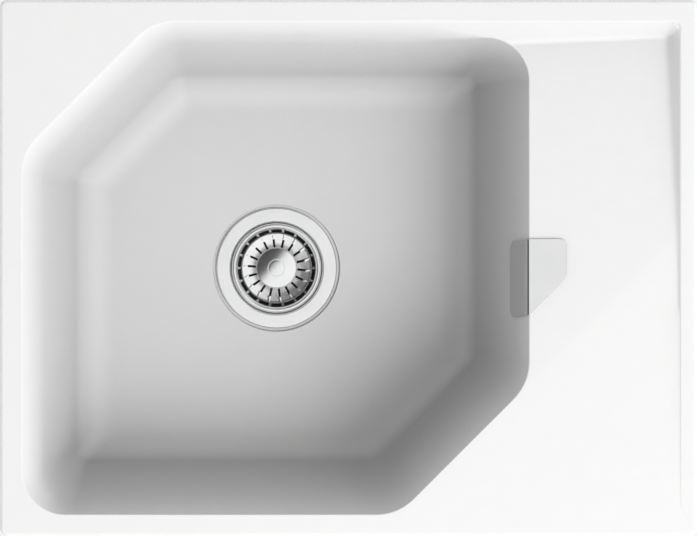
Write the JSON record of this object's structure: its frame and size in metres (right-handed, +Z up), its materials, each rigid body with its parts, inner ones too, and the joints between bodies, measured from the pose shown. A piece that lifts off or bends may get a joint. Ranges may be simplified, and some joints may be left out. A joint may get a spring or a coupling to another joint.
{
  "type": "inset kitchen sink",
  "caption": "Inset kitchen sink of cast composite: angular bowl with cut corners, sloping drainer beside it, lift-out basket strainer waste, covered overflow with its hose, and swing clips.",
  "frame": {"origin": "middle of the rim's outer rectangle, on the rim's flat underside, which rests on the worktop", "axes": "+X along the sink's length from the bowl to the drainer, +Y across the sink towards the drainer's deep end, +Z up"},
  "size_m": [0.65, 0.5, 0.292],
  "materials": {
    "composite": "fine grained, satin",
    "steel_bright": "polished stainless steel",
    "steel_satin": "satin stainless steel",
    "plastic_dark": "moulded, fine texture",
    "plastic_pale": "moulded, satin",
    "rubber": "matt",
    "brass": "turned"
  },
  "bodies": {
    "sink": {"sink_body": "composite", "overflow_bezel": "plastic_dark", "overflow_gasket": "rubber", "overflow_elbow": "plastic_dark", "overflow_hose": "plastic_pale", "hose_nut_top": "plastic_dark", "hose_nut_bottom": "plastic_dark", "hose_washers": "rubber", "flange_ring": "rubber", "waste_flange": "steel_bright", "body_gasket": "rubber", "waste_body": "plastic_pale", "body_insert": "brass", "waste_screw": "steel_bright", "clip_inserts": "brass", "clip_screws": "steel_bright"},
    "strainer": {"basket": "steel_bright", "basket_knob": "steel_bright", "basket_stem": "steel_bright", "basket_seal": "rubber", "seal_washer": "steel_bright", "stem_nut": "steel_bright"},
    "cover": {"overflow_cover": "steel_satin", "overflow_cover_plug": "plastic_dark"},
    "claw_1": {"clip_claw_1": "steel_satin"},
    "claw_2": {"clip_claw_2": "steel_satin"},
    "claw_3": {"clip_claw_3": "steel_satin"},
    "claw_4": {"clip_claw_4": "steel_satin"},
    "claw_5": {"clip_claw_5": "steel_satin"},
    "claw_6": {"clip_claw_6": "steel_satin"}
  },
  "joints": [
    {"name": "strainer_lift", "type": "slide", "parent": "sink", "child": "strainer", "axis": [0, 0, 1], "range_m": [0, 0.26]},
    {"name": "cover_pull", "type": "slide", "parent": "sink", "child": "cover", "axis": [-0.9601, 0, 0.2798], "range_m": [0, 0.06]},
    {"name": "claw_swing_1", "type": "hinge", "parent": "sink", "child": "claw_1", "pos_m": [-0.1, 0.2315, -0.05], "axis": [0, 0, 1], "range_deg": [0, 90]},
    {"name": "claw_swing_2", "type": "hinge", "parent": "sink", "child": "claw_2", "pos_m": [0.24, 0.2315, -0.05], "axis": [0, 0, 1], "range_deg": [0, 90]},
    {"name": "claw_swing_3", "type": "hinge", "parent": "sink", "child": "claw_3", "pos_m": [-0.2, -0.2315, -0.05], "axis": [0, 0, 1], "range_deg": [0, 90]},
    {"name": "claw_swing_4", "type": "hinge", "parent": "sink", "child": "claw_4", "pos_m": [0.18, -0.2315, -0.05], "axis": [0, 0, 1], "range_deg": [0, 90]},
    {"name": "claw_swing_5", "type": "hinge", "parent": "sink", "child": "claw_5", "pos_m": [-0.3065, -0.04, -0.05], "axis": [0, 0, 1], "range_deg": [0, 90]},
    {"name": "claw_swing_6", "type": "hinge", "parent": "sink", "child": "claw_6", "pos_m": [0.3065, -0.02, -0.05], "axis": [0, 0, 1], "range_deg": [0, 90]}
  ]
}
